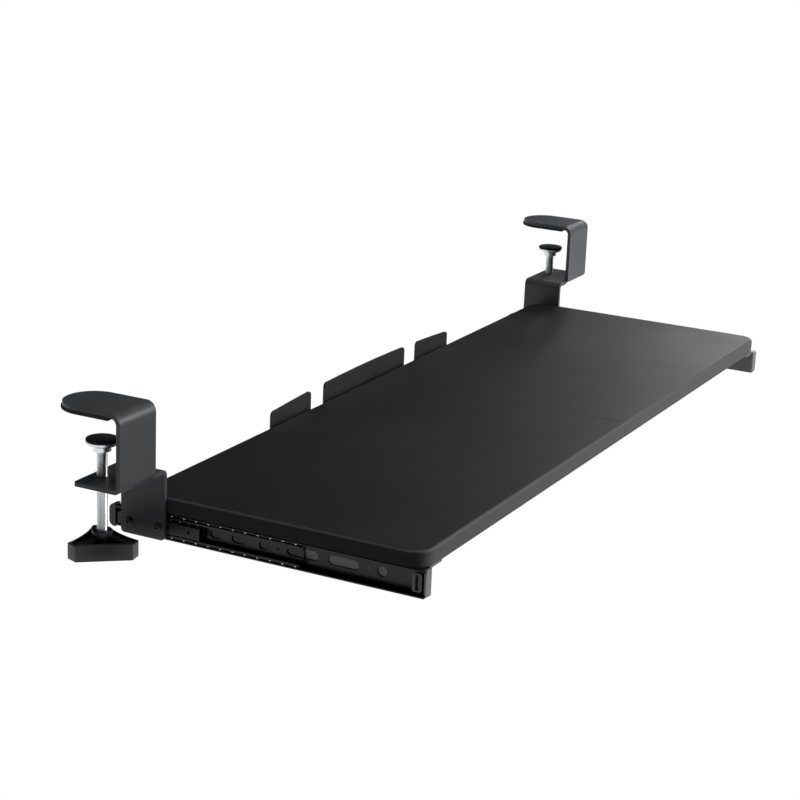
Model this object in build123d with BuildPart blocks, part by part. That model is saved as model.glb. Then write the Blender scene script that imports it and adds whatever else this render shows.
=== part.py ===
"""A clamp-on keyboard tray on ball-bearing slides, drawn in millimetres.

The tray is pulled out to its stops. X runs along the desk's front edge, -Y points to the
person at the desk and +Z is up. The pieces are drawn about the point midway between the
clamps on the desk's front edge, and each is moved as it is written, so that the origin
comes to the middle of the left jaw pad's contact face.
"""

import os
from math import cos, radians, sin

from build123d import *

os.makedirs("parts", exist_ok=True)

# Tray boards
tray_width = 900.0
tray_depth = 300.0
board_thickness = 16.0
board_corner_radius = 20.0
board_edge_radius = 3.0
seam_offset = 18.0
seam_arris = 0.5
tray_drop = 92.0
tray_tuck = 31.0
dowel_radius = 4.0
dowel_length = 40.0
dowel_spacing = 100.0
dowel_count = 3

# Clamp brackets, bent from one steel plate each
plate_thickness = 4.0
clamp_width = 57.0
clamp_outset = 23.0
top_plate_length = 76.0
top_end_flat = 1.0
throat_height = 64.0
shelf_depth = 50.5
shelf_corner_radius = 3.0
web_drop = 70.0
web_corner_radius = 4.0
web_tray_gap = 1.5
top_bend_radius = 10.0
shelf_bend_radius = 6.0
web_bend_radius = 7.0

# Rubber pads
jaw_pad_thickness = 2.5
jaw_pad_rim = 1.5
jaw_pad_front_gap = 8.0
foot_pad_thickness = 2.5

# Clamp screw, its knob and its swivelling foot
desk_thickness = 28.0
screw_radius = 5.0
screw_play = 0.05
screw_tip_chamfer = 1.0
screw_setback = 35.0
foot_radius = 15.0
foot_plate_thickness = 3.0
foot_hub_radius = 8.5
foot_hub_height = 6.0
foot_edge_width = 1.0
screw_end_gap = 0.3
knob_bottom_drop = 139.0
knob_height = 15.8
knob_hub_height = 23.5
knob_hub_radius = 9.5
knob_side_distance = 22.3
knob_corner_distance = 33.6
knob_wall = 2.5
knob_floor = 3.0
knob_arm_width = 7.0
knob_arm_sag = 1.5
knob_edge_radius = 1.0
knob_turn = 20.5
knob_sides = 3

# Ball-bearing slides, three nested members on each side
rail_depth = 12.7
rail_half_height = 13.5
rail_gauge = 1.2
rail_top_gap = 0.3
tray_rail_width = 10.6
lip_width = 0.8
lip_overlap = 0.3
member_gap = 0.3
fixed_rail_length = 90.6
fixed_rail_lead = 37.6
middle_rail_lead = 143.0
outer_ball_radius = 1.5
inner_ball_radius = 1.0
ball_play = 0.05
outer_race_depth = 0.3
inner_race_depth = 0.2
ball_offset = 8.0
outer_ball_pitch = 13.3
outer_ball_count = 11
inner_ball_pitch = 9.8
inner_ball_count = 4
cage_gauge = 0.4
outer_cage_flange = 0.8
inner_cage_flange = 0.6
cage_reach_share = 0.6
cage_end_margin = 5.0
inner_cage_end_margin = 4.0

# Cut-outs in the webs of the rails, the middle slots given as lead and length
web_slot_length = 32.0
web_slot_width = 9.0
web_slot_places = (22.5, 64.5)
web_hole_radius = 5.0
web_hole_place = 104.0
rivet_place = 91.0
middle_open_slot_length = 17.0
middle_slot_width = 7.5
middle_slots = ((41.7, 10.0), (68.2, 15.5), (92.8, 13.0), (128.0, 15.5), (165.0, 13.0))
middle_dimple_radius = 1.0
middle_dimple_lead = 26.0
fixed_hole_radius = 1.5
fixed_hole_lead = 11.6

# Front buffers of the tray rails
buffer_lead = 3.0
buffer_length = 10.0
buffer_half_height = 9.0
buffer_waist = 3.0
buffer_depth = 7.0

# End stops on the rear ends of the middle rails
stop_gap = 4.0
stop_length = 7.0
stop_half_height = 11.2
stop_corner_radius = 5.5

# Side brackets between the rails and the boards
bracket_gauge = 2.0
bracket_drop = 26.0
bracket_flange = 24.0
bracket_bend_radius = 3.0
bracket_lip_width = 11.8
bracket_lip_drop = 0.5
bracket_lip_radius = 4.0
bracket_lip_bend = 1.8
bracket_screw_places = (-120.0, -40.0, 40.0, 120.0)

# Joining plate with its cable fence
fence_gauge = 2.0
fence_gap = 4.0
fence_half_width = 203.0
fence_floor_depth = 70.0
fence_bend_radius = 3.0
fence_apex_rise = 19.5
fence_end_rise = 13.0
fence_slot_start = 92.7
fence_slot_width = 28.9
fence_slot_drop = 5.0
fence_corner_radius = 5.0
fence_screw_places = (-165.0, -105.0, -45.0, 45.0, 105.0, 165.0)
fence_screw_rows = (15.0, 50.0)

# Fasteners
wood_screw_radius = 1.75
wood_screw_length = 12.0
wood_screw_head_radius = 4.0
wood_screw_head_height = 2.4
head_edge_width = 0.7
rivet_radius = 2.5
rivet_head_radius = 4.0
rivet_head_height = 1.2
web_screw_radius = 2.0
web_screw_spacing = 32.0
web_screw_rear_margin = 8.8
web_screw_head_radius = 3.6
web_screw_head_height = 2.0
web_screw_reach = 3.0
web_screw_socket_radius = 1.25
web_screw_socket_depth = 1.2

overrun = 5.0

# Levels and places worked out from the sizes above
tray_top = -tray_drop
board_bottom = tray_top - board_thickness
tray_front = tray_tuck - tray_depth
tray_rear = tray_tuck
tray_middle = tray_front + tray_depth / 2
half_width = tray_width / 2
plate_bottom = jaw_pad_thickness
plate_top = plate_bottom + plate_thickness
plate_rear = top_plate_length - plate_thickness
top_end_radius = (clamp_width - top_end_flat) / 2
shelf_top = -throat_height
shelf_bottom = shelf_top - plate_thickness
shelf_rear = shelf_depth - plate_thickness
web_front = -plate_thickness / 2
web_bottom = shelf_top - web_drop
web_inner = half_width + web_tray_gap
web_outer = web_inner + plate_thickness
clamp_inner = half_width + clamp_outset
clamp_middle = clamp_inner + clamp_width / 2
rail_face = web_inner - rail_depth
rail_level = board_bottom - rail_top_gap - rail_half_height

# Heights of races and balls above the middle of the rail
outer_race_top = rail_half_height - rail_gauge
outer_ball_level = outer_race_top - outer_ball_radius - ball_play
middle_race = outer_ball_level - outer_ball_radius - ball_play
inner_race_top = middle_race - rail_gauge
inner_ball_level = inner_race_top - inner_ball_radius - ball_play
fixed_race = inner_ball_level - inner_ball_radius - ball_play

# Depths of the nested members, counted outwards from the side bracket
outer_cage_back = rail_gauge + member_gap
middle_back = outer_cage_back + cage_gauge + member_gap
inner_cage_back = middle_back + rail_gauge + member_gap
fixed_front = inner_cage_back + cage_gauge + member_gap

# Front ends of the rails and cages along Y
middle_rail_front = -middle_rail_lead
fixed_rail_front = -fixed_rail_lead
middle_rail_length = middle_rail_lead + fixed_rail_front + fixed_rail_length + stop_gap
outer_cage_length = (outer_ball_count - 1) * outer_ball_pitch + 2 * cage_end_margin
inner_cage_length = (inner_ball_count - 1) * inner_ball_pitch + 2 * inner_cage_end_margin
outer_cage_front = middle_rail_front
inner_cage_front = fixed_rail_front + member_gap

# Shift that brings the middle of the left jaw pad's contact face to the origin
jaw_pad_middle = (jaw_pad_front_gap + plate_rear + jaw_pad_rim) / 2
frame_shift = Location((clamp_middle, -jaw_pad_middle, 0))


def write_piece(piece, label):
    """Moves one finished piece into the part's frame, names it and writes its file."""
    placed = piece.part.moved(frame_shift)
    placed.label = label
    export_step(placed, f"parts/{label}.step")


def write_pair(right_piece, label):
    """Writes a right-hand piece and its mirror image on the left."""
    write_piece(right_piece, f"right_{label}")
    with BuildPart() as left_piece:
        mirror(right_piece.part, about=Plane.YZ)
    write_piece(left_piece, f"left_{label}")


def rail_section(rear):
    """Returns the plane across a right-hand rail whose sketches extrude to the front."""
    return Plane(origin=(rail_face, rear, rail_level), x_dir=(1, 0, 0), z_dir=(0, -1, 0))


def upright(x, y, z):
    """Returns an XZ plane at a point, for profiles that turn about a vertical axis."""
    return Plane(origin=(x, y, z), x_dir=(1, 0, 0), z_dir=(0, -1, 0))


def board(side, label):
    """Makes the part of the tray on one side of the seam, with its pilot holes and sockets."""
    screw_x = rail_face - bracket_gauge - (bracket_flange - bracket_gauge) / 2
    with BuildPart() as half:
        with BuildSketch(Plane.XY.offset(board_bottom)):
            with Locations(((seam_offset + side * half_width) / 2, tray_middle)):
                Rectangle(half_width - side * seam_offset, tray_depth)
        extrude(amount=board_thickness)
        outer = half.edges().filter_by(Axis.Z).group_by(Axis.X)[-1 if side > 0 else 0]
        fillet(outer, board_corner_radius)
        top_rim = half.faces().sort_by(Axis.Z)[-1].edges().sort_by(Axis.X)
        fillet(top_rim[1:] if side > 0 else top_rim[:-1], board_edge_radius)
        seam_rim = half.faces().filter_by(Axis.X).sort_by(Axis.X)[0 if side > 0 else -1].edges()
        chamfer(seam_rim, seam_arris)
        with BuildSketch(Plane.YZ.offset(seam_offset)):
            with Locations((tray_middle, tray_top - board_thickness / 2)):
                with GridLocations(dowel_spacing, 0, dowel_count, 1):
                    Circle(dowel_radius)
        extrude(amount=side * dowel_length / 2, mode=Mode.SUBTRACT)
        with BuildSketch(Plane.XY.offset(board_bottom)):
            for place in bracket_screw_places:
                with Locations((side * screw_x, tray_middle + place)):
                    Circle(wood_screw_radius)
            for x in fence_screw_places:
                for row in fence_screw_rows:
                    if x * side > 0:
                        with Locations((x, tray_rear - row)):
                            Circle(wood_screw_radius)
        extrude(amount=wood_screw_length, mode=Mode.SUBTRACT)
    write_piece(half, label)


board(-1, "left_board")
board(1, "right_board")

# Dowels that line up the two boards
with BuildPart() as dowels:
    with BuildSketch(Plane.YZ.offset(seam_offset - dowel_length / 2)):
        with Locations((tray_middle, tray_top - board_thickness / 2)):
            with GridLocations(dowel_spacing, 0, dowel_count, 1):
                Circle(dowel_radius)
    extrude(amount=dowel_length)
write_piece(dowels, "board_dowels")

# Joining plate under the seam, folded up behind the boards as a cable fence
fence_front = tray_rear + fence_gap
fence_back = fence_front + fence_gauge
fence_bottom = board_bottom - fence_gauge
fence_peak = tray_top + fence_apex_rise
fence_end = tray_top + fence_end_rise
with BuildPart() as joining_plate:
    with BuildSketch(Plane.YZ.offset(-fence_half_width)) as fence_profile:
        with BuildLine():
            Polyline(
                (tray_rear - fence_floor_depth, board_bottom),
                (tray_rear - fence_floor_depth, fence_bottom),
                (fence_back, fence_bottom),
                (fence_back, fence_peak),
                (fence_front, fence_peak),
                (fence_front, board_bottom),
                close=True,
            )
        make_face()
        outer_bend = fence_profile.vertices().sort_by_distance((fence_back, fence_bottom))[0]
        fillet(outer_bend, fence_bend_radius)
    extrude(amount=2 * fence_half_width)
    with BuildSketch(Plane.XZ.offset(-fence_back - overrun)):
        with BuildLine():
            arch = ThreePointArc(
                (-fence_half_width, fence_end), (0, fence_peak), (fence_half_width, fence_end)
            )
            Polyline(
                arch @ 1,
                (fence_half_width, fence_peak + overrun),
                (-fence_half_width, fence_peak + overrun),
                arch @ 0,
            )
        make_face()
        slot_bottom = tray_top - fence_slot_drop
        slot_height = fence_peak - slot_bottom + overrun
        for side in (-1, 1):
            with Locations((side * (fence_slot_start + fence_slot_width / 2), slot_bottom)):
                Rectangle(fence_slot_width, slot_height, align=(Align.CENTER, Align.MIN))
    extrude(amount=fence_gauge + 2 * overrun, mode=Mode.SUBTRACT)
    across = joining_plate.edges().filter_by(Axis.Y)
    tab_corners = across.filter_by_position(Axis.Z, fence_end - fence_gauge, fence_peak)
    fillet(tab_corners, fence_corner_radius)
    with BuildSketch(Plane.XY.offset(fence_bottom)):
        for x in fence_screw_places:
            for row in fence_screw_rows:
                with Locations((x, tray_rear - row)):
                    Circle(wood_screw_radius)
    extrude(amount=fence_gauge, mode=Mode.SUBTRACT)
write_piece(joining_plate, "joining_plate")


def wood_screws(places, seat):
    """Makes pan-head wood screws that point up from one seat."""
    with BuildPart() as group:
        for x, y in places:
            with BuildSketch(upright(x, y, seat)) as half_section:
                with BuildLine():
                    Polyline(
                        (0, -wood_screw_head_height),
                        (wood_screw_head_radius, -wood_screw_head_height),
                        (wood_screw_head_radius, 0),
                        (wood_screw_radius, 0),
                        (wood_screw_radius, wood_screw_length - wood_screw_radius),
                        (0, wood_screw_length),
                        close=True,
                    )
                make_face()
                rim = half_section.vertices().sort_by_distance(
                    (wood_screw_head_radius, -wood_screw_head_height)
                )[0]
                chamfer(rim, head_edge_width)
            revolve(axis=Axis((x, y, seat), (0, 0, 1)))
    return group


joining_places = [(x, tray_rear - row) for x in fence_screw_places for row in fence_screw_rows]
write_piece(wood_screws(joining_places, fence_bottom), "joining_plate_screws")

# Side bracket under the board's edge, with a lip turned out across the rail's front end
bracket_bottom = board_bottom - bracket_drop
bracket_seat = board_bottom - bracket_gauge
bracket_screw_x = rail_face - bracket_gauge - (bracket_flange - bracket_gauge) / 2
with BuildPart() as side_bracket:
    with BuildSketch(Plane.XZ.offset(-tray_rear)) as bracket_profile:
        with BuildLine():
            Polyline(
                (rail_face, board_bottom),
                (rail_face, bracket_bottom),
                (rail_face - bracket_gauge, bracket_bottom),
                (rail_face - bracket_gauge, bracket_seat),
                (rail_face - bracket_flange, bracket_seat),
                (rail_face - bracket_flange, board_bottom),
                close=True,
            )
        make_face()
        outer_bend = bracket_profile.vertices().sort_by_distance((rail_face, board_bottom))[0]
        fillet(outer_bend, bracket_bend_radius)
    extrude(amount=tray_depth)
    with BuildSketch(Plane.XZ.offset(-tray_front)) as lip_outline:
        with Locations((rail_face - bracket_gauge, bracket_bottom)):
            Rectangle(
                bracket_lip_width, bracket_drop - bracket_lip_drop, align=(Align.MIN, Align.MIN)
            )
        fillet(lip_outline.vertices().group_by(Axis.X)[-1], bracket_lip_radius)
    extrude(amount=bracket_gauge)
    lip_bend = side_bracket.edges().filter_by(Axis.Z).group_by(Axis.Y)[0].sort_by(Axis.X)[0]
    fillet(lip_bend, bracket_lip_bend)
    with BuildSketch(Plane.XY.offset(bracket_seat)):
        for place in bracket_screw_places:
            with Locations((bracket_screw_x, tray_middle + place)):
                Circle(wood_screw_radius)
    extrude(amount=bracket_gauge, mode=Mode.SUBTRACT)
    with BuildSketch(Plane.YZ.offset(rail_face - bracket_gauge)):
        with Locations((tray_middle, rail_level)):
            with GridLocations(2 * rivet_place, 0, 2, 1):
                Circle(rivet_radius)
    extrude(amount=bracket_gauge, mode=Mode.SUBTRACT)
write_pair(side_bracket, "side_bracket")

bracket_places = [(bracket_screw_x, tray_middle + place) for place in bracket_screw_places]
write_pair(wood_screws(bracket_places, bracket_seat), "bracket_screws")


def race(level, ball_radius):
    """Cuts one pair of ball races into the rail section being sketched."""
    with Locations((ball_offset, level), (ball_offset, -level)):
        Circle(ball_radius + ball_play, mode=Mode.SUBTRACT)


# Outer rail, a channel riveted to the side bracket with its open side outwards
tray_flange = outer_race_top - outer_race_depth
tray_lip = tray_flange - lip_overlap
with BuildPart() as tray_rail:
    with BuildSketch(rail_section(tray_rear)) as tray_profile:
        with BuildLine():
            Polyline(
                (0, 0),
                (0, rail_half_height),
                (tray_rail_width, rail_half_height),
                (tray_rail_width, tray_lip),
                (tray_rail_width - lip_width, tray_lip),
                (tray_rail_width - lip_width, tray_flange),
                (rail_gauge, tray_flange),
                (rail_gauge, 0),
                close=True,
            )
        make_face()
        for corner in ((0, rail_half_height), (tray_rail_width, rail_half_height)):
            fillet(tray_profile.vertices().sort_by_distance(corner)[0], rail_gauge)
        mirror(about=Plane.XZ)
        race(outer_ball_level, outer_ball_radius)
    extrude(amount=tray_depth)
    with BuildSketch(Plane.YZ.offset(rail_face)):
        for side in (-1, 1):
            for place in web_slot_places:
                with Locations((tray_middle + side * place, rail_level)):
                    SlotOverall(web_slot_length, web_slot_width)
            with Locations((tray_middle + side * web_hole_place, rail_level)):
                Circle(web_hole_radius)
            with Locations((tray_middle + side * rivet_place, rail_level)):
                Circle(rivet_radius)
    extrude(amount=rail_gauge, mode=Mode.SUBTRACT)
write_pair(tray_rail, "tray_rail")

# Rivets, flush inside the channel so that the middle rail runs over them
with BuildPart() as rail_rivets:
    with BuildSketch(Plane.YZ.offset(rail_face + rail_gauge)):
        with Locations((tray_middle, rail_level)):
            with GridLocations(2 * rivet_place, 0, 2, 1):
                Circle(rivet_radius)
    extrude(amount=-rail_gauge - bracket_gauge)
    with BuildSketch(Plane.YZ.offset(rail_face - bracket_gauge)):
        with Locations((tray_middle, rail_level)):
            with GridLocations(2 * rivet_place, 0, 2, 1):
                Circle(rivet_head_radius)
    extrude(amount=-rivet_head_height)
    chamfer(rail_rivets.faces().group_by(Axis.X)[0].edges(), head_edge_width)
write_pair(rail_rivets, "rail_rivets")

# Plastic buffer that the middle rail meets when the tray is pushed home
with BuildPart() as rail_buffer:
    with BuildSketch(Plane.YZ.offset(rail_face + rail_gauge)):
        with Locations((tray_front + buffer_lead + buffer_length / 2, rail_level)):
            Rectangle(buffer_length, 2 * buffer_half_height)
    extrude(amount=buffer_depth)
    fillet(rail_buffer.edges().filter_by(Axis.X), buffer_waist)
    with BuildSketch(Plane.YZ.offset(rail_face + rail_gauge + buffer_depth / 2)):
        with Locations((tray_front + buffer_lead + buffer_length / 2, rail_level)):
            SlotOverall(2 * buffer_half_height - buffer_waist, buffer_waist, rotation=90)
    extrude(amount=buffer_depth, mode=Mode.SUBTRACT)
    with BuildSketch(Plane.YZ.offset(rail_face + rail_gauge)):
        with Locations((tray_front + buffer_lead + buffer_length / 2, rail_level)):
            Rectangle(buffer_waist, 2 * tray_flange)
    extrude(amount=buffer_waist)
write_pair(rail_buffer, "rail_buffer")


def cage(front, length, back, level, flange, ball_radius, pitch, count, margin, label):
    """Makes a ball cage, a thin channel with a row of ball pockets in each flange."""
    reach = ball_offset + cage_reach_share * ball_radius
    with BuildPart() as retainer:
        with BuildSketch(rail_section(front + length)):
            with BuildLine():
                Polyline(
                    (back, 0),
                    (back, level + flange / 2),
                    (reach, level + flange / 2),
                    (reach, level - flange / 2),
                    (back + cage_gauge, level - flange / 2),
                    (back + cage_gauge, 0),
                    close=True,
                )
            make_face()
            mirror(about=Plane.XZ)
        extrude(amount=length)
        with BuildSketch(Plane.XY.offset(rail_level - level - flange)):
            for index in range(count):
                with Locations((rail_face + ball_offset, front + margin + index * pitch)):
                    Circle(ball_radius + ball_play)
        extrude(amount=2 * (level + flange), mode=Mode.SUBTRACT)
    write_pair(retainer, label)


def balls(front, level, ball_radius, pitch, count, margin, label):
    """Makes the two rows of steel balls that one cage carries."""
    with BuildPart() as rows:
        for side in (-1, 1):
            for index in range(count):
                place = (
                    rail_face + ball_offset,
                    front + margin + index * pitch,
                    rail_level + side * level,
                )
                with Locations(place):
                    Sphere(ball_radius)
    write_pair(rows, label)


cage(
    outer_cage_front, outer_cage_length, outer_cage_back, outer_ball_level, outer_cage_flange,
    outer_ball_radius, outer_ball_pitch, outer_ball_count, cage_end_margin, "outer_ball_cage",
)
balls(
    outer_cage_front, outer_ball_level, outer_ball_radius, outer_ball_pitch,
    outer_ball_count, cage_end_margin, "outer_balls",
)
cage(
    inner_cage_front, inner_cage_length, inner_cage_back, inner_ball_level, inner_cage_flange,
    inner_ball_radius, inner_ball_pitch, inner_ball_count, inner_cage_end_margin,
    "inner_ball_cage",
)
balls(
    inner_cage_front, inner_ball_level, inner_ball_radius, inner_ball_pitch,
    inner_ball_count, inner_cage_end_margin, "inner_balls",
)

# Middle rail, with races on both sides of its flanges
middle_outer = middle_race + outer_race_depth
middle_inner = inner_race_top - inner_race_depth
middle_lip = middle_outer + lip_overlap
with BuildPart() as middle_rail:
    with BuildSketch(rail_section(middle_rail_front + middle_rail_length)) as middle_profile:
        with BuildLine():
            Polyline(
                (middle_back, 0),
                (middle_back, middle_outer),
                (tray_rail_width - lip_width, middle_outer),
                (tray_rail_width - lip_width, middle_lip),
                (tray_rail_width, middle_lip),
                (tray_rail_width, middle_inner),
                (middle_back + rail_gauge, middle_inner),
                (middle_back + rail_gauge, 0),
                close=True,
            )
        make_face()
        back_corner = middle_profile.vertices().sort_by_distance((middle_back, middle_outer))[0]
        fillet(back_corner, rail_gauge)
        mirror(about=Plane.XZ)
        race(outer_ball_level, outer_ball_radius)
        race(inner_ball_level, inner_ball_radius)
    extrude(amount=middle_rail_length)
    with BuildSketch(Plane.YZ.offset(rail_face + middle_back)):
        with Locations((middle_rail_front, rail_level)):
            SlotOverall(2 * middle_open_slot_length, middle_slot_width)
        with Locations((middle_rail_front + middle_dimple_lead, rail_level)):
            Circle(middle_dimple_radius)
        for lead, length in middle_slots:
            with Locations((middle_rail_front + lead, rail_level)):
                SlotOverall(length, middle_slot_width)
    extrude(amount=rail_gauge, mode=Mode.SUBTRACT)
write_pair(middle_rail, "middle_rail")

# Plastic stop that closes the middle rail's rear end
with BuildPart() as middle_rail_stop:
    with BuildSketch(Plane.YZ.offset(rail_face + middle_back)) as stop_outline:
        with Locations((middle_rail_front + middle_rail_length, rail_level)):
            Rectangle(stop_length, 2 * stop_half_height, align=(Align.MIN, Align.CENTER))
        fillet(stop_outline.vertices().group_by(Axis.X)[-1], stop_corner_radius)
    extrude(amount=tray_rail_width - middle_back)
write_pair(middle_rail_stop, "middle_rail_stop")

# Fixed rail, screwed to the clamp bracket's web with its open side inwards
fixed_outer = fixed_race + inner_race_depth
fixed_inner = fixed_race - rail_gauge
web_screw_rear = shelf_rear - web_screw_rear_margin
web_screw_places = (web_screw_rear - web_screw_spacing, web_screw_rear)
with BuildPart() as fixed_rail:
    with BuildSketch(rail_section(fixed_rail_front + fixed_rail_length)) as fixed_profile:
        with BuildLine():
            Polyline(
                (rail_depth, 0),
                (rail_depth, fixed_outer),
                (fixed_front, fixed_outer),
                (fixed_front, fixed_inner),
                (rail_depth - rail_gauge, fixed_inner),
                (rail_depth - rail_gauge, 0),
                close=True,
            )
        make_face()
        back_corner = fixed_profile.vertices().sort_by_distance((rail_depth, fixed_outer))[0]
        fillet(back_corner, rail_gauge)
        mirror(about=Plane.XZ)
        race(inner_ball_level, inner_ball_radius)
    extrude(amount=fixed_rail_length)
    with BuildSketch(Plane.YZ.offset(web_inner)):
        for place in web_screw_places:
            with Locations((place, rail_level)):
                Circle(web_screw_radius)
        with Locations((fixed_rail_front + fixed_hole_lead, rail_level)):
            Circle(fixed_hole_radius)
    extrude(amount=-rail_gauge, mode=Mode.SUBTRACT)
write_pair(fixed_rail, "fixed_rail")

# Button-head screws that hold the fixed rail to the web
with BuildPart() as web_screws:
    for place in web_screw_places:
        with BuildSketch(Plane.YZ.offset(web_outer)):
            with Locations((place, rail_level)):
                Circle(web_screw_head_radius)
        extrude(amount=web_screw_head_height)
        with BuildSketch(Plane.YZ.offset(web_outer)):
            with Locations((place, rail_level)):
                Circle(web_screw_radius)
        extrude(amount=-plate_thickness - rail_gauge - web_screw_reach)
    outer_faces = web_screws.faces().filter_by(Axis.X).group_by(Axis.X)[-1]
    fillet(outer_faces.edges(), web_screw_head_height / 2)
    with BuildSketch(Plane.YZ.offset(web_outer + web_screw_head_height)):
        for place in web_screw_places:
            with Locations((place, rail_level)):
                RegularPolygon(web_screw_socket_radius, 6)
    extrude(amount=-web_screw_socket_depth, mode=Mode.SUBTRACT)
write_pair(web_screws, "web_screws")

# Clamp bracket, a C over the desk's edge whose shelf turns down as the rail's web
with BuildPart() as clamp_bracket:
    with BuildSketch(Plane.YZ.offset(clamp_inner)) as strip_profile:
        with BuildLine():
            Polyline(
                (plate_rear, plate_top),
                (-plate_thickness, plate_top),
                (-plate_thickness, shelf_bottom),
                (shelf_rear, shelf_bottom),
                (shelf_rear, shelf_top),
                (0, shelf_top),
                (0, plate_bottom),
                (plate_rear, plate_bottom),
                close=True,
            )
        make_face()
        bends = (
            ((-plate_thickness, plate_top), top_bend_radius),
            ((0, plate_bottom), top_bend_radius - plate_thickness),
            ((-plate_thickness, shelf_bottom), shelf_bend_radius),
            ((0, shelf_top), shelf_bend_radius - plate_thickness),
        )
        for corner, radius in bends:
            fillet(strip_profile.vertices().sort_by_distance(corner)[0], radius)
    extrude(amount=clamp_width)
    plate_end = clamp_bracket.edges().filter_by(Axis.Z).group_by(Axis.Y)[-1]
    fillet(plate_end, top_end_radius)
    with BuildSketch(Plane.XZ.offset(-shelf_rear)) as web_profile:
        with BuildLine():
            Polyline(
                (clamp_inner, shelf_top),
                (web_inner, shelf_top),
                (web_inner, web_bottom),
                (web_outer, web_bottom),
                (web_outer, shelf_bottom),
                (clamp_inner, shelf_bottom),
                close=True,
            )
        make_face()
        bends = (
            ((web_inner, shelf_top), web_bend_radius),
            ((web_outer, shelf_bottom), web_bend_radius - plate_thickness),
        )
        for corner, radius in bends:
            fillet(web_profile.vertices().sort_by_distance(corner)[0], radius)
    extrude(amount=shelf_rear - web_front)
    web_end = clamp_bracket.edges().filter_by(Axis.X).group_by(Axis.Z)[0]
    fillet(web_end, web_corner_radius)
    shelf_corner = clamp_bracket.edges().filter_by(Axis.Z).sort_by_distance(
        (clamp_inner + clamp_width, shelf_rear, shelf_bottom)
    )[0]
    fillet(shelf_corner, shelf_corner_radius)
    with BuildSketch(Plane.XY.offset(shelf_bottom)):
        with Locations((clamp_middle, screw_setback)):
            Circle(screw_radius + screw_play)
    extrude(amount=plate_thickness, mode=Mode.SUBTRACT)
    with BuildSketch(Plane.YZ.offset(web_inner)):
        for place in web_screw_places:
            with Locations((place, rail_level)):
                Circle(web_screw_radius)
    extrude(amount=plate_thickness, mode=Mode.SUBTRACT)
write_pair(clamp_bracket, "clamp_bracket")

# Rubber pad under the top plate, a little wider than it
with BuildPart() as jaw_pad:
    with BuildSketch(Plane.XY):
        with Locations((clamp_middle, jaw_pad_front_gap)):
            Rectangle(
                clamp_width + 2 * jaw_pad_rim,
                plate_rear + jaw_pad_rim - jaw_pad_front_gap,
                align=(Align.CENTER, Align.MIN),
            )
    extrude(amount=jaw_pad_thickness)
    pad_end = jaw_pad.edges().filter_by(Axis.Z).group_by(Axis.Y)[-1]
    fillet(pad_end, top_end_radius + jaw_pad_rim)
write_pair(jaw_pad, "jaw_pad")

# Swivelling foot, turned from steel with a blind socket for the screw's tip
foot_pad_top = -desk_thickness
foot_top = foot_pad_top - foot_pad_thickness
foot_bottom = foot_top - foot_plate_thickness
hub_bottom = foot_bottom - foot_hub_height
screw_top = foot_bottom - screw_end_gap
socket_radius = screw_radius + screw_play
with BuildPart() as pressure_foot:
    with BuildSketch(upright(clamp_middle, screw_setback, 0)) as foot_section:
        with BuildLine():
            Polyline(
                (0, foot_bottom),
                (socket_radius, foot_bottom),
                (socket_radius, hub_bottom),
                (foot_hub_radius, hub_bottom),
                (foot_hub_radius, foot_bottom),
                (foot_radius, foot_bottom),
                (foot_radius, foot_top),
                (0, foot_top),
                close=True,
            )
        make_face()
        rim = foot_section.vertices().sort_by_distance((foot_radius, foot_bottom))[0]
        chamfer(rim, foot_edge_width)
    revolve(axis=Axis((clamp_middle, screw_setback, 0), (0, 0, 1)))
write_pair(pressure_foot, "pressure_foot")

with BuildPart() as foot_pad:
    with BuildSketch(Plane.XY.offset(foot_top)):
        with Locations((clamp_middle, screw_setback)):
            Circle(foot_radius)
    extrude(amount=foot_pad_thickness)
    chamfer(foot_pad.faces().sort_by(Axis.Z)[-1].edges(), foot_edge_width)
write_pair(foot_pad, "foot_pad")

# Clamp screw, from the foot's socket down into the knob
knob_bottom = -knob_bottom_drop
screw_bottom = knob_bottom + knob_floor
with BuildPart() as clamp_screw:
    with BuildSketch(Plane.XY.offset(screw_bottom)):
        with Locations((clamp_middle, screw_setback)):
            Circle(screw_radius)
    extrude(amount=screw_top - screw_bottom)
    chamfer(clamp_screw.faces().sort_by(Axis.Z)[-1].edges(), screw_tip_chamfer)
write_pair(clamp_screw, "clamp_screw")


def knob_plan(inset):
    """Draws the knob's three-cornered outline, drawn in by an even wall."""
    with Locations((clamp_middle, screw_setback)):
        RegularPolygon(
            knob_side_distance - inset, knob_sides, major_radius=False, rotation=knob_turn
        )
        RegularPolygon(
            knob_corner_distance - inset,
            knob_sides,
            major_radius=False,
            rotation=knob_turn + 180,
            mode=Mode.INTERSECT,
        )


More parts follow.
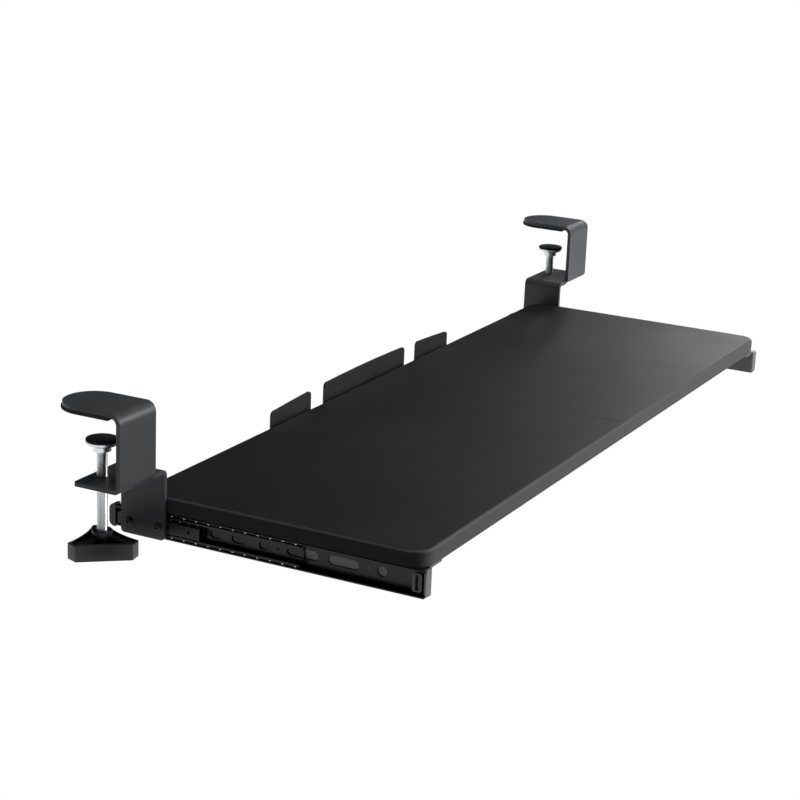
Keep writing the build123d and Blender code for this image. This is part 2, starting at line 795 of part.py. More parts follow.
# Three-cornered knob, hollow from above with three arms and a hub
with BuildPart() as clamp_knob:
    with BuildSketch(Plane.XY.offset(knob_bottom)):
        knob_plan(0)
    extrude(amount=knob_height)
    fillet(clamp_knob.edges().filter_by(Axis.Z), knob_edge_radius)
    fillet(clamp_knob.faces().sort_by(Axis.Z)[0].edges(), knob_edge_radius)
    with BuildSketch(Plane.XY.offset(knob_bottom + knob_floor)):
        knob_plan(knob_wall)
    extrude(amount=knob_height, mode=Mode.SUBTRACT)
    with BuildSketch(Plane.XY.offset(knob_bottom + knob_edge_radius)):
        with Locations((clamp_middle, screw_setback)):
            Circle(knob_hub_radius)
    extrude(amount=knob_hub_height - knob_edge_radius)
    arm_reach = knob_corner_distance - knob_wall / 2
    arm_base = knob_floor - knob_edge_radius
    for index in range(knob_sides):
        turn = radians(knob_turn + index * 360 / knob_sides)
        along = (cos(turn), sin(turn), 0)
        across = (sin(turn), -cos(turn), 0)
        arm_plane = Plane(
            origin=(clamp_middle, screw_setback, knob_bottom), x_dir=along, z_dir=across
        )
        with BuildSketch(arm_plane):
            with BuildLine():
                Polyline(
                    (knob_hub_radius / 2, knob_hub_height - knob_wall),
                    (knob_hub_radius / 2, arm_base),
                    (arm_reach, arm_base),
                    (arm_reach, knob_height),
                )
                SagittaArc(
                    (arm_reach, knob_height),
                    (knob_hub_radius / 2, knob_hub_height - knob_wall),
                    -knob_arm_sag,
                )
            make_face()
        extrude(amount=knob_arm_width / 2, both=True)
    with BuildSketch(Plane.XY.offset(screw_bottom)):
        with Locations((clamp_middle, screw_setback)):
            Circle(screw_radius)
    extrude(amount=knob_hub_height, mode=Mode.SUBTRACT)
write_pair(clamp_knob, "clamp_knob")
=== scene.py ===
"""Looks of a clamp-on keyboard tray with ball-bearing slides.

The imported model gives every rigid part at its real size. This script gives each of them its
finish, replaces the rubber pads, clamp screws and knobs with fuller meshes, and sets up the
studio. Lengths are in metres: X runs along the desk's edge, -Y points to the person at the
desk, Z is up, and the origin is the middle of the left jaw pad's contact face.
"""

import logging
from abc import ABC, abstractmethod
from collections.abc import Iterable
from dataclasses import dataclass
from enum import Enum
from math import cos, floor, pi, radians, sin

import bmesh
import bpy
from mathutils import Matrix, Vector


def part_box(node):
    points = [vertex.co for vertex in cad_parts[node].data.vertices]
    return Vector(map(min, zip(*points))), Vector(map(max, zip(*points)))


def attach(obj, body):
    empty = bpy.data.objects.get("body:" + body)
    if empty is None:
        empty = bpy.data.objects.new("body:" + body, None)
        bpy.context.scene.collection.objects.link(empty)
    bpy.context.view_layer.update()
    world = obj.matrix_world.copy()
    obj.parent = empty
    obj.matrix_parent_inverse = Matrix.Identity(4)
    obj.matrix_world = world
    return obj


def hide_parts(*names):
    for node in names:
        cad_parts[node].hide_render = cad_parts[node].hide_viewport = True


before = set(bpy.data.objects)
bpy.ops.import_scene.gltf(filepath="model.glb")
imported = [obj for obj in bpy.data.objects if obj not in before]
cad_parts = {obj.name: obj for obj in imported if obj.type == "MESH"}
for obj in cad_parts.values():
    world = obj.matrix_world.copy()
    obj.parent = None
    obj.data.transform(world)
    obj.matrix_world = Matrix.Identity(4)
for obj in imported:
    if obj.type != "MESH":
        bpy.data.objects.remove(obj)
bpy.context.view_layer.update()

log = logging.getLogger("keyboard_tray")

MM = 0.001
BEVEL_SAMPLES = 6

# Edges flatter than this many degrees are shaded smooth
SMOOTH_ANGLE = 32.0
THREAD_SMOOTH_ANGLE = 60.0
BALL_SMOOTH_ANGLE = 80.0

# The noise values that tones and gloss are spread between
NOISE_LOW, NOISE_HIGH = 0.3, 0.7

Triple = tuple[float, float, float]
Socket = bpy.types.NodeSocket


class Side(Enum):
    """The two mirrored sides of the tray, as the nodes spell them."""

    LEFT = "left"
    RIGHT = "right"

    def node(self, piece: str) -> str:
        """The name of this side's node, body or piece."""
        return f"{self.value}_{piece}"


class ShaderSheet:
    """A material being built around one principled shader."""

    def __init__(self, name: str) -> None:
        """Starts an empty sheet.

        Args:
            name: The material's name.
        """
        self.material = bpy.data.materials.new(name)
        self.material.use_nodes = True
        self.tree = self.material.node_tree
        self.tree.nodes.clear()
        self.shader = self.tree.nodes.new("ShaderNodeBsdfPrincipled")
        output = self.tree.nodes.new("ShaderNodeOutputMaterial")
        self.tree.links.new(self.shader.outputs["BSDF"], output.inputs["Surface"])
        self.place = self.tree.nodes.new("ShaderNodeTexCoord").outputs["Object"]

    def put(self, socket: str, value: object) -> None:
        """Sets or links one socket of the shader.

        Args:
            socket: The shader socket's name.
            value: A constant, or the output socket that feeds it.
        """
        target = self.shader.inputs[socket]
        if isinstance(value, Socket):
            self.tree.links.new(value, target)
        elif isinstance(value, tuple):
            target.default_value = (*value, 1.0)
        else:
            target.default_value = value

    def stretched(self, stretch: Triple) -> Socket:
        """Scales the object coordinates unevenly.

        Args:
            stretch: The factor along each axis.

        Returns:
            The scaled coordinates.
        """
        mapping = self.tree.nodes.new("ShaderNodeMapping")
        mapping.inputs["Scale"].default_value = stretch
        self.tree.links.new(self.place, mapping.inputs["Vector"])
        return mapping.outputs["Vector"]

    def noise(
        self,
        scale: float,
        detail: float = 2.0,
        roughness: float = 0.5,
        place: Socket | None = None,
    ) -> Socket:
        """Adds a noise texture.

        Args:
            scale: Features per metre.
            detail: Octaves.
            roughness: Weight of the finer octaves.
            place: Coordinates, or None for the object's own.

        Returns:
            The noise value.
        """
        node = self.tree.nodes.new("ShaderNodeTexNoise")
        node.inputs["Scale"].default_value = scale
        node.inputs["Detail"].default_value = detail
        node.inputs["Roughness"].default_value = roughness
        self.tree.links.new(place or self.place, node.inputs["Vector"])
        return node.outputs["Fac"]

    def pebbles(self, scale: float) -> Socket:
        """Adds rounded cells, as in moulded grain.

        Args:
            scale: Cells per metre.

        Returns:
            The distance to the nearest cell's centre.
        """
        node = self.tree.nodes.new("ShaderNodeTexVoronoi")
        node.feature = "SMOOTH_F1"
        node.inputs["Scale"].default_value = scale
        self.tree.links.new(self.place, node.inputs["Vector"])
        return node.outputs["Distance"]

    def spread(
        self, source: Socket, low: float, high: float, start: float = 0.0, end: float = 1.0
    ) -> Socket:
        """Maps a value to a range.

        Args:
            source: The value.
            low: The result at start.
            high: The result at end.
            start: Lower end of the input range.
            end: Upper end of the input range.

        Returns:
            The mapped value.
        """
        node = self.tree.nodes.new("ShaderNodeMapRange")
        limits = {"From Min": start, "From Max": end, "To Min": low, "To Max": high}
        for socket, value in limits.items():
            node.inputs[socket].default_value = value
        self.tree.links.new(source, node.inputs["Value"])
        return node.outputs["Result"]

    def tint(self, source: Socket, dark: Triple, light: Triple) -> Socket:
        """Turns a noise value into a colour between two tones.

        Args:
            source: The value.
            dark: Colour at low values.
            light: Colour at high values.

        Returns:
            The colour.
        """
        ramp = self.tree.nodes.new("ShaderNodeValToRGB")
        stops = ramp.color_ramp.elements
        stops[0].position, stops[0].color = NOISE_LOW, (*dark, 1.0)
        stops[1].position, stops[1].color = NOISE_HIGH, (*light, 1.0)
        self.tree.links.new(source, ramp.inputs["Fac"])
        return ramp.outputs["Color"]

    def upward(self) -> Socket:
        """Tells how far the surface faces up.

        Returns:
            1 where it faces up, 0 where it is upright and -1 where it faces down.
        """
        normal = self.tree.nodes.new("ShaderNodeTexCoord").outputs["Normal"]
        parts = self.tree.nodes.new("ShaderNodeSeparateXYZ")
        self.tree.links.new(normal, parts.inputs["Vector"])
        return parts.outputs["Z"]

    def blend(self, share: Socket, first: Triple, second: Socket) -> Socket:
        """Mixes a plain colour with another.

        Args:
            share: Share of the second colour.
            first: The plain colour.
            second: The other colour.

        Returns:
            The mixed colour.
        """
        mix = self.tree.nodes.new("ShaderNodeMix")
        mix.data_type = "RGBA"
        mix.inputs["A"].default_value = (*first, 1.0)
        self.tree.links.new(share, mix.inputs["Factor"])
        self.tree.links.new(second, mix.inputs["B"])
        return mix.outputs["Result"]

    def softened(self, radius: float) -> Socket:
        """Rounds sharp edges in the shading alone.

        Args:
            radius: Radius of the rounding, in metres.

        Returns:
            The rounded normal.
        """
        bevel = self.tree.nodes.new("ShaderNodeBevel")
        bevel.samples = BEVEL_SAMPLES
        bevel.inputs["Radius"].default_value = radius
        return bevel.outputs["Normal"]

    def flatness(self, rounded: Socket) -> Socket:
        """Tells flat faces from edges.

        Args:
            rounded: The normal with its edges rounded.

        Returns:
            1 on flat faces, falling to less at sharp edges.
        """
        match = self.tree.nodes.new("ShaderNodeVectorMath")
        match.operation = "DOT_PRODUCT"
        own = self.tree.nodes.new("ShaderNodeNewGeometry").outputs["Normal"]
        self.tree.links.new(rounded, match.inputs[0])
        self.tree.links.new(own, match.inputs[1])
        return match.outputs["Value"]

    def relief(
        self,
        layers: Iterable[tuple[Socket, float, float]],
        normal: Socket | None = None,
    ) -> None:
        """Stacks bumps and feeds them to the shader.

        Args:
            layers: Height, strength and depth in metres of each bump.
            normal: The normal below the bumps, or None for the surface's own.
        """
        for height, strength, depth in layers:
            bump = self.tree.nodes.new("ShaderNodeBump")
            bump.inputs["Strength"].default_value = strength
            bump.inputs["Distance"].default_value = depth
            self.tree.links.new(height, bump.inputs["Height"])
            if normal is not None:
                self.tree.links.new(normal, bump.inputs["Normal"])
            normal = bump.outputs["Normal"]
        if normal is not None:
            self.tree.links.new(normal, self.shader.inputs["Normal"])


@dataclass(frozen=True)
class Finish(ABC):
    """A surface finish, painted as a node material.

    The last five fields shape the edges of the finishes that round them and paint highlights on
    them: how far the shading rounds them, how much paler the painted highlight makes them, how
    much of the film's own colour is left there, and where flatness starts and stops counting.
    """

    name: str
    slot: str
    dark: Triple
    light: Triple
    gloss_low: float
    gloss_high: float
    edge: float = 0.5 * MM
    highlight_gain: float = 2.0
    film_share_at_edges: float = 0.4
    highlight_start: float = 0.75
    highlight_end: float = 0.97

    @property
    def edge_highlight_tone(self) -> Triple:
        """The paler tone painted on sharp edges as a painted highlight."""
        red, green, blue = (min(1.0, self.highlight_gain * part) for part in self.light)
        return red, green, blue

    def paint_edge_highlights(self, sheet: ShaderSheet, film: Socket, rounded: Socket) -> Socket:
        """Paints highlights along sharp edges by lightening a colour.

        Args:
            sheet: The material being built.
            film: The colour on flat faces.
            rounded: The normal with its edges rounded.

        Returns:
            The colour with painted highlights on its sharp edges.
        """
        flatness = sheet.flatness(rounded)
        share = sheet.spread(flatness, self.film_share_at_edges, 1.0, self.highlight_start, self.highlight_end)
        return sheet.blend(share, self.edge_highlight_tone, film)

    def vary_gloss(self, sheet: ShaderSheet, pattern: Socket) -> None:
        """Lets a noise pattern vary the roughness.

        Args:
            sheet: The material being built.
            pattern: The noise.
        """
        low, high = self.gloss_low, self.gloss_high
        sheet.put("Roughness", sheet.spread(pattern, low, high, NOISE_LOW, NOISE_HIGH))

    @abstractmethod
    def paint(self, sheet: ShaderSheet) -> None:
        """Fills the sheet with this finish.

        Args:
            sheet: The material being built.
        """

    def material(self) -> bpy.types.Material:
        """Builds this finish's material at its first use.

        Returns:
            The material, the same one each time.
        """
        known = bpy.data.materials.get(self.name)
        if known is not None:
            return known
        sheet = ShaderSheet(self.name)
        self.paint(sheet)
        return sheet.material


@dataclass(frozen=True)
class Laminate(Finish):
    """Textured laminate on board: a fine grain, faintly clouded, with every face that doesn't face
    up painted paler than the top, as painted light from the key lamp on the front edge.
    """

    # Colour of every face that doesn't face up: painted light, paler than the top
    painted_side_light: Triple = (0.145, 0.145, 0.145)
    cloud_scale: float = 7.0
    swell_scale: float = 9.0
    swell_strength: float = 0.05
    swell_depth: float = 0.4 * MM
    grain: float = 1500.0
    grain_strength: float = 0.45
    depth: float = 0.06 * MM
    level_start: float = 0.55
    level_end: float = 0.98
    side_shine: float = 0.02
    top_shine: float = 0.42

    def paint(self, sheet: ShaderSheet) -> None:
        """Paints the grained film and the painted light on the faces that don't face up.

        Args:
            sheet: The material being built.
        """
        cloud = sheet.noise(self.cloud_scale, detail=4.0, roughness=0.6)
        fleck = sheet.noise(self.grain, roughness=0.7)
        film = sheet.tint(cloud, self.dark, self.light)
        top = sheet.upward()
        share = sheet.spread(top, 0.0, 1.0, self.level_start, self.level_end)
        shine = sheet.spread(
            top, self.side_shine, self.top_shine, self.level_start, self.level_end
        )
        swell = sheet.noise(self.swell_scale, detail=1.0)
        # Faces that don't face up are painted paler than the top: painted light, as the key lamp
        # gives the front edge
        sheet.put("Base Color", sheet.blend(share, self.painted_side_light, film))
        self.vary_gloss(sheet, cloud)
        sheet.put("Specular IOR Level", shine)
        sheet.relief(
            (
                (swell, self.swell_strength, self.swell_depth),
                (fleck, self.grain_strength, self.depth),
            )
        )


@dataclass(frozen=True)
class PowderCoat(Finish):
    """Matt coat on steel: fine orange peel, faint clouds and painted highlights on sharp edges."""

    cloud_scale: float = 24.0
    peel: float = 1100.0
    peel_strength: float = 0.4
    depth: float = 0.05 * MM
    shine: float = 0.5

    def paint(self, sheet: ShaderSheet) -> None:
        """Paints the coat.

        Args:
            sheet: The material being built.
        """
        cloud = sheet.noise(self.cloud_scale, detail=4.0, roughness=0.6)
        peel = sheet.noise(self.peel, roughness=0.6)
        rounded = sheet.softened(self.edge)
        film = sheet.tint(cloud, self.dark, self.light)
        # Sharp edges are painted paler: painted highlights
        sheet.put("Base Color", self.paint_edge_highlights(sheet, film, rounded))
        self.vary_gloss(sheet, cloud)
        sheet.put("Specular IOR Level", self.shine)
        sheet.relief(((peel, self.peel_strength, self.depth),), rounded)


@dataclass(frozen=True)
class RolledSteel(Finish):
    """Thin black coat on rolled steel, with draw lines along the rail."""

    cloud_scale: float = 60.0
    lines: float = 2600.0
    stretch: Triple = (1.0, 0.02, 1.0)
    line_strength: float = 0.2
    depth: float = 0.02 * MM
    shine: float = 0.32

    def paint(self, sheet: ShaderSheet) -> None:
        """Paints the coat over the draw lines.

        Args:
            sheet: The material being built.
        """
        cloud = sheet.noise(self.cloud_scale, detail=3.0, roughness=0.6)
        drawn = sheet.noise(self.lines, place=sheet.stretched(self.stretch))
        rounded = sheet.softened(self.edge)
        film = sheet.tint(cloud, self.dark, self.light)
        # Sharp edges are painted paler: painted highlights
        sheet.put("Base Color", self.paint_edge_highlights(sheet, film, rounded))
        self.vary_gloss(sheet, drawn)
        sheet.put("Specular IOR Level", self.shine)
        sheet.relief(((drawn, self.line_strength, self.depth),), rounded)


@dataclass(frozen=True)
class BrightMetal(Finish):
    """Bare or plated metal with faint turning marks."""

    cloud_scale: float = 180.0
    marks: float = 1800.0
    stretch: Triple = (0.05, 0.05, 1.0)
    mark_strength: float = 0.15
    depth: float = 0.02 * MM

    def paint(self, sheet: ShaderSheet) -> None:
        """Paints the metal.

        Args:
            sheet: The material being built.
        """
        cloud = sheet.noise(self.cloud_scale, detail=3.0, roughness=0.6)
        turned = sheet.noise(self.marks, place=sheet.stretched(self.stretch))
        sheet.put("Base Color", sheet.tint(cloud, self.dark, self.light))
        sheet.put("Metallic", 1.0)
        self.vary_gloss(sheet, turned)
        sheet.relief(((turned, self.mark_strength, self.depth),))


@dataclass(frozen=True)
class Moulded(Finish):
    """Moulded plastic or rubber with a spark-eroded grain."""

    cloud_scale: float = 40.0
    grain: float = 1400.0
    grain_strength: float = 0.5
    depth: float = 0.08 * MM

    def paint(self, sheet: ShaderSheet) -> None:
        """Paints the moulding.

        Args:
            sheet: The material being built.
        """
        cloud = sheet.noise(self.cloud_scale, detail=3.0, roughness=0.6)
        rounded = sheet.softened(self.edge)
        film = sheet.tint(cloud, self.dark, self.light)
        # Sharp edges are painted paler: painted highlights
        sheet.put("Base Color", self.paint_edge_highlights(sheet, film, rounded))
        self.vary_gloss(sheet, cloud)
        sheet.relief(((sheet.pebbles(self.grain), self.grain_strength, self.depth),), rounded)


@dataclass(frozen=True)
class Beech(Finish):
    """Plain beech with fine streaks along X."""

    streaks: float = 900.0
    stretch: Triple = (0.06, 1.0, 1.0)
    streak_strength: float = 0.3
    depth: float = 0.1 * MM

    def paint(self, sheet: ShaderSheet) -> None:
        """Paints the streaks.

        Args:
            sheet: The material being built.
        """
        place = sheet.stretched(self.stretch)
        streak = sheet.noise(self.streaks, detail=3.0, roughness=0.6, place=place)
        sheet.put("Base Color", sheet.tint(streak, self.dark, self.light))
        sheet.put("Roughness", sheet.spread(streak, self.gloss_low, self.gloss_high))
        sheet.relief(((streak, self.streak_strength, self.depth),))


LAMINATE = Laminate(
    "black_laminate", "board", (0.007, 0.007, 0.007), (0.010, 0.010, 0.010), 0.49, 0.56
)
COAT = PowderCoat(
    "black_powder_coat", "black_steel", (0.050, 0.053, 0.058), (0.058, 0.061, 0.067), 0.42, 0.52
)
BRACKET_COAT = PowderCoat(
    "grey_black_coat",
    "black_steel",
    (0.125, 0.126, 0.129),
    (0.145, 0.146, 0.150),
    0.38,
    0.48,
    shine=0.9,
)
# A darker copy of the black coat for the cable fence: painted shade, standing in for the desk's
# shadow on it
SHADED_FENCE_COAT = PowderCoat(
    "shaded_fence_coat", "black_steel", (0.010, 0.010, 0.011), (0.013, 0.013, 0.014), 0.42, 0.52
)
RAIL = RolledSteel(
    "black_rolled_steel", "rail_steel", (0.003, 0.003, 0.003), (0.006, 0.006, 0.006), 0.24, 0.36
)
ZINC = BrightMetal("bright_zinc", "zinc", (0.76, 0.79, 0.81), (0.88, 0.90, 0.92), 0.30, 0.42)
BALL = BrightMetal(
    "bearing_steel", "ball_steel", (0.88, 0.88, 0.88), (0.95, 0.95, 0.95), 0.40, 0.52
)
OXIDE = PowderCoat(
    "black_oxide", "black_screw", (0.010, 0.010, 0.011), (0.016, 0.016, 0.017), 0.30, 0.42
)
RUBBER = Moulded(
    "black_rubber", "rubber", (0.010, 0.010, 0.010), (0.016, 0.016, 0.016), 0.72, 0.86
)
NYLON = Moulded("smoky_nylon", "plastic", (0.06, 0.06, 0.06), (0.11, 0.11, 0.11), 0.22, 0.34)
PLASTIC = Moulded(
    "black_plastic", "plastic", (0.015, 0.015, 0.016), (0.022, 0.022, 0.023), 0.36, 0.48
)
BEECH = Beech("beech", "dowel", (0.50, 0.36, 0.22), (0.68, 0.52, 0.35), 0.5, 0.65)


def dress(node: str, finish: Finish, smooth_angle: float = SMOOTH_ANGLE) -> None:
    """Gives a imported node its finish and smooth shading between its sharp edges.

    Args:
        node: The node's name.
        finish: The finish.
        smooth_angle: Edges flatter than this many degrees are shaded smooth.
    """
    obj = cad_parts[node]
    obj.data.materials.clear()
    obj.data.materials.append(finish.material())
    obj.data.shade_smooth()
    obj.data.set_sharp_from_angle(angle=radians(smooth_angle))
    log.info("dressed %s in %s", node, finish.name)


def add_piece(
    name: str,
    form: bmesh.types.BMesh,
    finish: Finish,
    body: str,
    *stands_for: str,
    smooth_angle: float = SMOOTH_ANGLE,
) -> None:
    """Turns a finished form into a piece that rides on a body.

    Args:
        name: The piece's name.
        form: The mesh, in place; it is freed.
        finish: The finish.
        body: The body that the piece moves with.
        *stands_for: The nodes that it replaces.
        smooth_angle: Edges flatter than this many degrees are shaded smooth.
    """
    bmesh.ops.recalc_face_normals(form, faces=form.faces)
    mesh = bpy.data.meshes.new(name)
    form.to_mesh(mesh)
    form.free()
    mesh.shade_smooth()
    mesh.set_sharp_from_angle(angle=radians(smooth_angle))
    obj = bpy.data.objects.new(name, mesh)
    bpy.context.scene.collection.objects.link(obj)
    mesh.materials.append(finish.material())
    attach(obj, body)
    if stands_for:
        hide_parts(*stands_for)
    log.info("built %s on %s", name, body)


def loft(form: bmesh.types.BMesh, rings: list[list[Vector]]) -> None:
    """Skins closed rings of equal length and caps both ends.

    Args:
        form: The mesh to add to.
        rings: Rings of points, in order.
    """
    loops = [[form.verts.new(point) for point in ring] for ring in rings]
    count = len(loops[0])
    for lower, upper in zip(loops, loops[1:]):
        for index in range(count):
            after = (index + 1) % count
            form.faces.new((lower[index], lower[after], upper[after], upper[index]))
    form.faces.new(reversed(loops[0]))
    form.faces.new(loops[-1])


@dataclass
class PadShape:
    """A flat pad with rolled edges, lofted from shrinking copies of its outline."""

    outline: list[Vector]
    centre: Vector
    bottom: float
    top: float
    roll: float
    steps: int = 5

    def ring(self, inset: float, height: float) -> list[Vector]:
        """Draws the outline in towards its centre at one height.

        Args:
            inset: Distance that the outline is drawn in.
            height: The ring's Z.

        Returns:
            The points of the ring.
        """
        ring = []
        for point in self.outline:
            arm = Vector((point.x - self.centre.x, point.y - self.centre.y))
            arm *= 1.0 - inset / arm.length
            ring.append(Vector((self.centre.x + arm.x, self.centre.y + arm.y, height)))
        return ring

    def form(self) -> bmesh.types.BMesh:
        """Lofts the pad.

        Returns:
            The closed mesh.
        """
        turns = [pi / 2 * step / self.steps for step in range(self.steps + 1)]
        lower = [
            self.ring(self.roll * (1 - sin(turn)), self.bottom + self.roll * (1 - cos(turn)))
            for turn in turns
        ]
        upper = [
            self.ring(self.roll * (1 - cos(turn)), self.top - self.roll * (1 - sin(turn)))
            for turn in turns
        ]
        form = bmesh.new()
        loft(form, lower + upper)
        return form


@dataclass
class KnobShape:
    """A three-cornered knob, open above, with scooped sides, a collared hub and three arms."""

    axis: Vector
    turn: float
    side_distance: float = 22.3 * MM
    corner_distance: float = 33.6 * MM
    scoop: float = 3.2 * MM
    height: float = 15.8 * MM
    hub_height: float = 23.5 * MM
    hub_radius: float = 9.1 * MM
    collar_rise: float = 0.4 * MM
    collar_height: float = 3.0 * MM
    bore: float = 5.05 * MM
    wall: float = 2.5 * MM
    floor: float = 3.0 * MM
    edge: float = 0.5 * MM
    arm_width: float = 7.0 * MM
    arm_sag: float = 1.5 * MM
    corner_steps: int = 4
    side_steps: int = 14
    arm_steps: int = 10

    @property
    def corners(self) -> list[float]:
        """The directions of the three corners, in radians."""
        return [self.turn + 2 * pi * index / 3 for index in range(3)]

    def place(self, flat: Vector, height: float) -> Vector:
        """Lifts a point of the plan into the scene.

        Args:
            flat: The point from the knob's axis.
            height: Height over the knob's bottom.

        Returns:
            The point in the scene.
        """
        return Vector((self.axis.x + flat.x, self.axis.y + flat.y, self.axis.z + height))

    def soft_corner(self, before: Vector, corner: Vector, after: Vector) -> list[Vector]:
        """Rounds one corner of the plan.

        Args:
            before: A point on the line that comes in.
            corner: The corner.
            after: A point on the line that goes out.

        Returns:
            Points round the corner.
        """
        start = corner - (corner - before).normalized() * self.edge
        end = corner + (after - corner).normalized() * self.edge
        shares = [step / self.corner_steps for step in range(self.corner_steps + 1)]
        return [start * (1 - u) ** 2 + corner * (2 * u * (1 - u)) + end * u**2 for u in shares]

    def outline(self, inset: float, scoop: float) -> list[Vector]:
        """Draws the plan: three long scooped sides and three short corner faces.

        Args:
            inset: Distance that the plan is drawn in.
            scoop: How far the middles of the long sides are drawn in as well.

        Returns:
            The closed plan, from the axis.
        """
        reach = self.corner_distance - inset
        half = (self.side_distance - inset - reach * cos(pi / 3)) / sin(pi / 3)
        ends = []
        for turn in self.corners:
            out, across = Vector((cos(turn), sin(turn))), Vector((-sin(turn), cos(turn)))
            ends += [out * reach - across * half, out * reach + across * half]
        ring = []
        count = len(ends)
        for index in range(0, count, 2):
            before, first, second, after = (
                ends[(index + step) % count] for step in (-1, 0, 1, 2)
            )
            ring += self.soft_corner(before, first, second) + self.soft_corner(first, second, after)
            inward = -(second + after).normalized()
            for step in range(1, self.side_steps):
                u = step / self.side_steps
                ring.append(second.lerp(after, u) + inward * (scoop * 4 * u * (1 - u)))
        return ring

    def add_bowl(self, form: bmesh.types.BMesh) -> None:
        """Adds the walls, the floor and the hub as one skin.

        Args:
            form: The mesh to add to.
        """
        rings = []
        for inset, height in (
            (2 * self.edge, 0.0),
            (self.edge / 2, self.edge / 2),
            (0.0, 2 * self.edge),
            (0.0, self.height / 2),
            (0.0, self.height - self.edge),
            (self.edge, self.height),
            (self.wall - self.edge, self.height),
            (self.wall, self.height - self.edge),
            (self.wall, self.height / 2),
            (self.wall, self.floor),
        ):
            plan = self.outline(inset, self.scoop * height / self.height)
            rings.append([self.place(point, height) for point in plan])
        collar = self.hub_radius + self.collar_rise
        collar_foot = self.hub_height - self.collar_height
        for radius, height in (
            (self.hub_radius + self.edge, self.floor),
            (self.hub_radius, self.floor + self.edge),
            (self.hub_radius, collar_foot - self.collar_rise),
            (collar, collar_foot),
            (collar, self.hub_height - self.edge),
            (collar - self.edge, self.hub_height),
            (self.bore + self.edge, self.hub_height),
            (self.bore, self.hub_height - self.edge),
            (self.bore, self.floor),
        ):
            circle = [point.normalized() * radius for point in self.outline(0.0, 0.0)]
            rings.append([self.place(point, height) for point in circle])
        loft(form, rings)

    def add_arm(self, form: bmesh.types.BMesh, turn: float) -> None:
        """Adds one arm, which sags from the hub to a corner.

        Args:
            form: The mesh to add to.
            turn: The arm's direction, in radians.
        """
        out, across = Vector((cos(turn), sin(turn))), Vector((-sin(turn), cos(turn)))
        near, far = (self.bore + self.hub_radius) / 2, self.corner_distance - self.wall / 2
        high = self.hub_height - self.collar_height - self.collar_rise
        low = self.height - 2 * self.edge
        half = self.arm_width / 2
        rings = []
        for step in range(self.arm_steps + 1):
            u = step / self.arm_steps
            top = high + (low - high) * u - self.arm_sag * 4 * u * (1 - u)
            spine = out * (near + (far - near) * u)
            section = (
                (-half, self.floor / 2),
                (-half, top - self.edge),
                (self.edge - half, top),
                (half - self.edge, top),
                (half, top - self.edge),
                (half, self.floor / 2),
            )
            rings.append([self.place(spine + across * shift, height) for shift, height in section])
        loft(form, rings)

    def form(self) -> bmesh.types.BMesh:
        """Builds the bowl, then the arms.

        Returns:
            The knob's mesh.
        """
        form = bmesh.new()
        self.add_bowl(form)
        for turn in self.corners:
            self.add_arm(form, turn)
        return form


